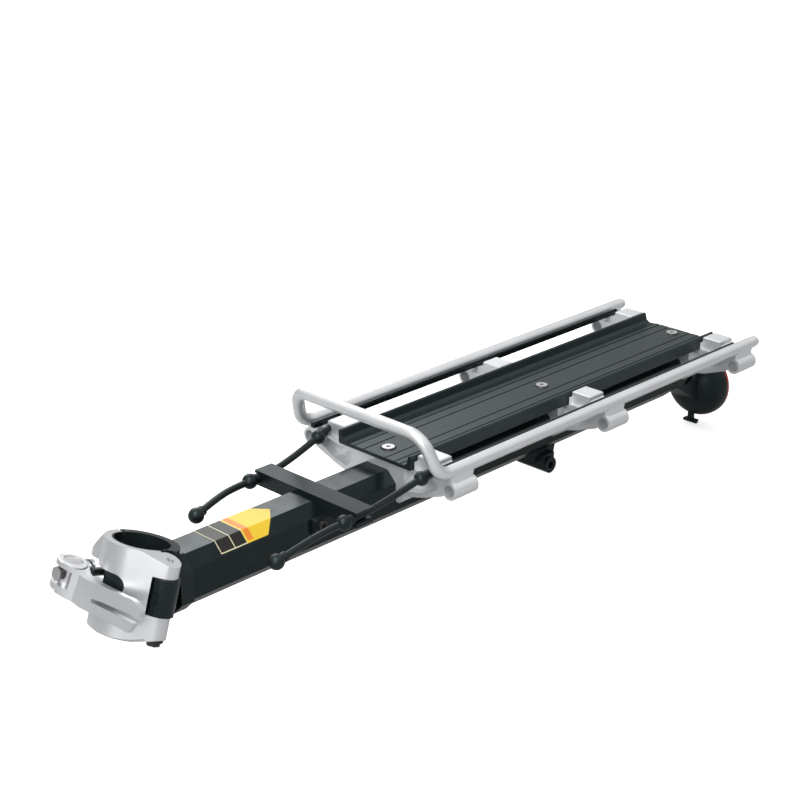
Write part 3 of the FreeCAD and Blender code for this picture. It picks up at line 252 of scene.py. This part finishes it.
def red_lens():
    """Clear red moulding with the fine cells of a reflector behind its face."""
    material, tree, shader = new_material("red_lens")
    place = tree.nodes.new("ShaderNodeTexCoord")
    cells = tree.nodes.new("ShaderNodeTexVoronoi")
    cells.inputs["Scale"].default_value = LENS_CELLS
    tree.links.new(place.outputs["Object"], cells.inputs["Vector"])
    tint = tree.nodes.new("ShaderNodeValToRGB")
    tint.color_ramp.elements[0].color = (0.50, 0.008, 0.010, 1)
    tint.color_ramp.elements[1].color = (0.22, 0.003, 0.005, 1)
    tree.links.new(cells.outputs["Distance"], tint.inputs["Fac"])
    tree.links.new(tint.outputs["Color"], shader.inputs["Base Color"])
    shader.inputs["Roughness"].default_value = 0.12
    shader.inputs["Coat Weight"].default_value = 0.6
    add_bump(tree, shader, cells.outputs["Distance"], 0.3, LENS_BUMP_DEPTH)
    return material


FINISHES = (
    silver_paint, silver_casting, bright_jaw, black_anodised, black_casting, black_plastic, tray_black,
    rubber, steel, black_steel, red_lens,
)

NODE_FINISH = {
    "clamp_head": "black_casting",
    "front_jaw": "bright_jaw",
    "front_liner": "black_plastic",
    "rear_liner": "black_plastic",
    "hinge_pin": "steel",
    "hinge_nut": "black_steel",
    "swing_bolt": "steel",
    "bolt_pivot_pin": "black_steel",
    "cam_barrel": "steel",
    "saddle_washer": "steel",
    "adjusting_nut": "steel",
    "cam_lever": "bright_jaw",
    "beam": "black_anodised",
    "front_bracket": "silver_casting",
    "middle_bracket": "silver_casting",
    "rear_bracket": "silver_casting",
    "side_rail_hoop": "silver_paint",
    "rail_end_plugs": "silver_paint",
    "near_side_strip": "black_anodised",
    "far_side_strip": "black_anodised",
    "top_plate": "tray_black",
    "screw_cups": "black_steel",
    "plate_screws": "steel",
    "strap_bar": "black_plastic",
    "strap_bar_screws": "black_steel",
    "near_strap": "rubber",
    "far_strap": "rubber",
    "near_strap_knobs": "rubber",
    "far_strap_knobs": "rubber",
    "under_socket": "black_plastic",
    "under_socket_bolt": "black_steel",
    "reflector_holder": "black_plastic",
    "reflector_lens": "red_lens",
}

SMALL_HARDWARE = (
    "hinge_pin", "hinge_nut", "saddle_washer", "adjusting_nut", "screw_cups", "plate_screws",
    "strap_bar_screws", "under_socket_bolt",
)


def soften_edges(piece):
    """A fine bevel on the sharp edges of a piece."""
    bevel = piece.modifiers.new("soft edges", "BEVEL")
    bevel.width = EDGE_BEVEL
    bevel.segments = 2
    bevel.limit_method = "ANGLE"
    bevel.angle_limit = EDGE_ANGLE


def dress_nodes(materials):
    """Gives each CAD piece its finish, and all but the small hardware soft edges."""
    for name, finish in NODE_FINISH.items():
        piece = nodes[name]
        piece.data.materials.clear()
        piece.data.materials.append(materials[finish])
        if name not in SMALL_HARDWARE:
            soften_edges(piece)


def sticker_point(x, across):
    """Point just above the beam's top or its upper slants, by distance along and across the film."""
    side = 1 if across >= 0 else -1
    over = max(0.0, abs(across) - BEAM_FLAT_HALF)
    slant = over / math.sqrt(2)
    lift = STICKER_LIFT / math.sqrt(2) if over > 0 else STICKER_LIFT
    out = STICKER_LIFT / math.sqrt(2) if over > 0 else 0.0
    y = min(abs(across), BEAM_FLAT_HALF) + slant + out
    return Vector((x, side * y, BEAM_TOP - slant + lift))


def sticker_panel(name, ends, half_width, material, tip=0.0, rise=0.0):
    """One colour field of the sticker, folded over the beam's upper edges and pointed if tip is set."""
    front, rear = ends
    fold = BEAM_FLAT_HALF
    rows = [
        -half_width, -fold - STICKER_FOLD, -fold + STICKER_FOLD, 0.0,
        fold - STICKER_FOLD, fold + STICKER_FOLD, half_width,
    ]
    points = []
    for across in rows:
        reach = rear + tip * (1 - abs(across) / half_width)
        points.append(sticker_point(front, across))
        points.append(sticker_point(reach, across))
    faces = [(2 * i, 2 * i + 1, 2 * i + 3, 2 * i + 2) for i in range(len(rows) - 1)]
    mesh = bpy.data.meshes.new(name)
    mesh.from_pydata(points, [], faces)
    mesh.materials.append(material)
    panel = bpy.data.objects.new(name, mesh)
    panel.location.z = rise
    bpy.context.scene.collection.objects.link(panel)
    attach(panel, "rack")


def sticker_material(name, colour):
    """Printed film: an even colour with faint mottling and a soft sheen."""
    mottled = tuple(c * STICKER_MOTTLE for c in colour)
    return finish_material(name, mottled, colour, rough=(0.28, 0.36), grain=1500, bump=0.03, shine=0.25)


def make_sticker():
    """Plain coloured sticker on the beam, with no words on it."""
    black = sticker_material("sticker_black", (0.014, 0.013, 0.012))
    cream = sticker_material("sticker_cream", (0.62, 0.58, 0.38))
    yellow = sticker_material("sticker_yellow", (0.74, 0.50, 0.035))
    orange = sticker_material("sticker_orange", (0.72, 0.22, 0.03))
    field_half = STICKER_HALF_WIDTH - STICKER_EDGE
    bar_half = STICKER_HALF_WIDTH - 2 * STICKER_EDGE
    sticker_panel("sticker_border", STICKER_BORDER, STICKER_HALF_WIDTH, cream)
    sticker_panel("sticker_front_field", STICKER_FRONT_FIELD, field_half, black, rise=STICKER_OVERLAY)
    sticker_panel("sticker_middle_field", STICKER_MIDDLE_FIELD, field_half, black, rise=STICKER_OVERLAY)
    sticker_panel("sticker_arrow", STICKER_ARROW, STICKER_HALF_WIDTH, yellow, tip=STICKER_TIP)
    sticker_panel("sticker_bar", STICKER_BAR, bar_half, orange, rise=STICKER_OVERLAY)


FAR_STRAP_ROUTE = [
    (0.1930, 0.0462, 0.0222), (0.1470, 0.0412, 0.0095), (0.1110, 0.0412, 0.0095),
    (0.0900, 0.0352, 0.0108), (0.0680, 0.0280, 0.0090),
]
NEAR_STRAP_ROUTE = [
    (0.1930, -0.0462, 0.0222), (0.1470, -0.0412, 0.0095), (0.1110, -0.0412, 0.0095),
    (0.0910, -0.0406, 0.0069), (0.0700, -0.0395, 0.0023),
]


def strap(name, route, node, material):
    """A rubber strap on one smooth line from the front bracket to its loose end."""
    curve = bpy.data.curves.new(name, "CURVE")
    curve.dimensions = "3D"
    curve.bevel_depth = CORD_DIAMETER / 2
    curve.bevel_resolution = 8
    curve.use_fill_caps = True
    curve.resolution_u = 24
    line = curve.splines.new("NURBS")
    line.points.add(len(route) - 1)
    for point, place in zip(line.points, route):
        point.co = (*place, 1)
    line.order_u = 3
    line.use_endpoint_u = True
    curve.materials.append(material)
    piece = bpy.data.objects.new(name, curve)
    bpy.context.scene.collection.objects.link(piece)
    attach(piece, "rack")
    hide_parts(node)


def area_light(name, place, target, size, power):
    """A soft rectangular lamp at a place, turned toward its target."""
    lamp = bpy.data.lights.new(name, "AREA")
    lamp.shape = "RECTANGLE"
    lamp.size, lamp.size_y = size
    lamp.energy = power
    holder = bpy.data.objects.new(name, lamp)
    holder.location = place
    aim = Vector(target) - Vector(place)
    holder.rotation_euler = aim.to_track_quat("-Z", "Y").to_euler()
    bpy.context.scene.collection.objects.link(holder)


def floor_material():
    """White to the camera with the part's shadow on it, and greyer to every other ray."""
    material, tree, shader = new_material("floor_white")
    shader.inputs["Roughness"].default_value = 0.9
    shader.inputs["Specular IOR Level"].default_value = 0.0
    slow = noise(tree, scale=2.0, detail=2)
    tint = ramp(tree, slow, grey(0.79), grey(0.80))
    tree.links.new(tint.outputs["Color"], shader.inputs["Base Color"])
    shader.inputs["Emission Color"].default_value = WHITE
    shader.inputs["Emission Strength"].default_value = FLOOR_GLOW
    path = tree.nodes.new("ShaderNodeLightPath")
    grey_floor = tree.nodes.new("ShaderNodeBsdfDiffuse")
    grey_floor.inputs["Color"].default_value = grey(FLOOR_IN_REFLECTIONS)
    shown = choose(tree, path.outputs["Is Camera Ray"], grey_floor.outputs["BSDF"], shader.outputs["BSDF"])
    tree.links.new(shown, tree.nodes["Material Output"].inputs["Surface"])
    return material


def make_floor():
    """Plain pale floor a little below the lowest point of the part."""
    mesh = bpy.data.meshes.new("floor")
    reach = FLOOR_REACH
    corners = [(-reach, -reach, 0), (reach, -reach, 0), (reach, reach, 0), (-reach, reach, 0)]
    mesh.from_pydata(corners, [], [(0, 1, 2, 3)])
    mesh.materials.append(floor_material())
    floor = bpy.data.objects.new("floor", mesh)
    floor.location = (0, 0, cad_bounds[0].z - FLOOR_DROP)
    bpy.context.scene.collection.objects.link(floor)


def background(tree, strength):
    """White surroundings of one brightness."""
    node = tree.nodes.new("ShaderNodeBackground")
    node.inputs["Color"].default_value = WHITE
    node.inputs["Strength"].default_value = strength
    return node


def mirrored_sky(tree):
    """Surroundings that darken toward the horizon, for reflections to see."""
    place = tree.nodes.new("ShaderNodeTexCoord")
    split = tree.nodes.new("ShaderNodeSeparateXYZ")
    tree.links.new(place.outputs["Generated"], split.inputs["Vector"])
    height = tree.nodes.new("ShaderNodeMapRange")
    height.inputs["From Min"].default_value = 0.0
    height.inputs["From Max"].default_value = SKY_HEIGHT
    height.inputs["To Min"].default_value = HORIZON_IN_REFLECTIONS
    height.inputs["To Max"].default_value = SKY_IN_REFLECTIONS
    tree.links.new(split.outputs["Z"], height.inputs["Value"])
    sky = background(tree, SKY_IN_REFLECTIONS)
    tree.links.new(height.outputs["Result"], sky.inputs["Strength"])
    return sky


def make_world():
    """Soft white surroundings: full white to the camera, a gradient in reflections."""
    world = bpy.data.worlds.new("studio")
    bpy.context.scene.world = world
    world.use_nodes = True
    tree = world.node_tree
    path = tree.nodes.new("ShaderNodeLightPath")
    soft = background(tree, WORLD_STRENGTH)
    seen = background(tree, 1.0)
    sky = mirrored_sky(tree)
    lit = choose(tree, path.outputs["Is Glossy Ray"], soft.outputs["Background"], sky.outputs["Background"])
    shown = choose(tree, path.outputs["Is Camera Ray"], lit, seen.outputs["Background"])
    tree.links.new(shown, tree.nodes["World Output"].inputs["Surface"])


def make_camera():
    """The photograph's view, with its frame as wide as the picture."""
    lens = bpy.data.cameras.new("camera")
    lens.sensor_width = SENSOR_WIDTH
    lens.lens = SENSOR_WIDTH * FOCAL_IN_PIXELS / PICTURE_WIDTH
    lens.clip_end = CAMERA_REACH
    holder = bpy.data.objects.new("camera", lens)
    bpy.context.scene.collection.objects.link(holder)
    right = Vector((math.cos(CAMERA_AZIMUTH), math.sin(CAMERA_AZIMUTH), 0))
    back = Vector((
        math.sin(CAMERA_AZIMUTH) * math.cos(CAMERA_ELEVATION),
        -math.cos(CAMERA_AZIMUTH) * math.cos(CAMERA_ELEVATION),
        math.sin(CAMERA_ELEVATION),
    ))
    up = back.cross(right)
    turn = Matrix((right, up, back)).transposed()
    holder.matrix_world = Matrix.Translation(CAMERA_PLACE) @ turn.to_4x4()
    bpy.context.scene.camera = holder


materials = {make.__name__: make() for make in FINISHES}
dress_nodes(materials)
make_sticker()
strap("far_strap_line", FAR_STRAP_ROUTE, "far_strap",
      materials["rubber"])
strap("near_strap_line", NEAR_STRAP_ROUTE, "near_strap",
      materials["rubber"])
make_floor()
make_world()
area_light("key", place=(-0.5, -0.3, 1.3), target=(0.2, 0, 0), size=(0.9, 0.9), power=15)
area_light("fill", place=(-0.9, -0.5, 0.5), target=(0.1, 0, 0), size=(0.7, 0.7), power=6)
area_light("rim", place=(0.7, 1.1, 0.9), target=(0.25, 0, 0), size=(1.0, 0.6), power=8)
make_camera()
bpy.context.scene.view_settings.view_transform = "Standard"
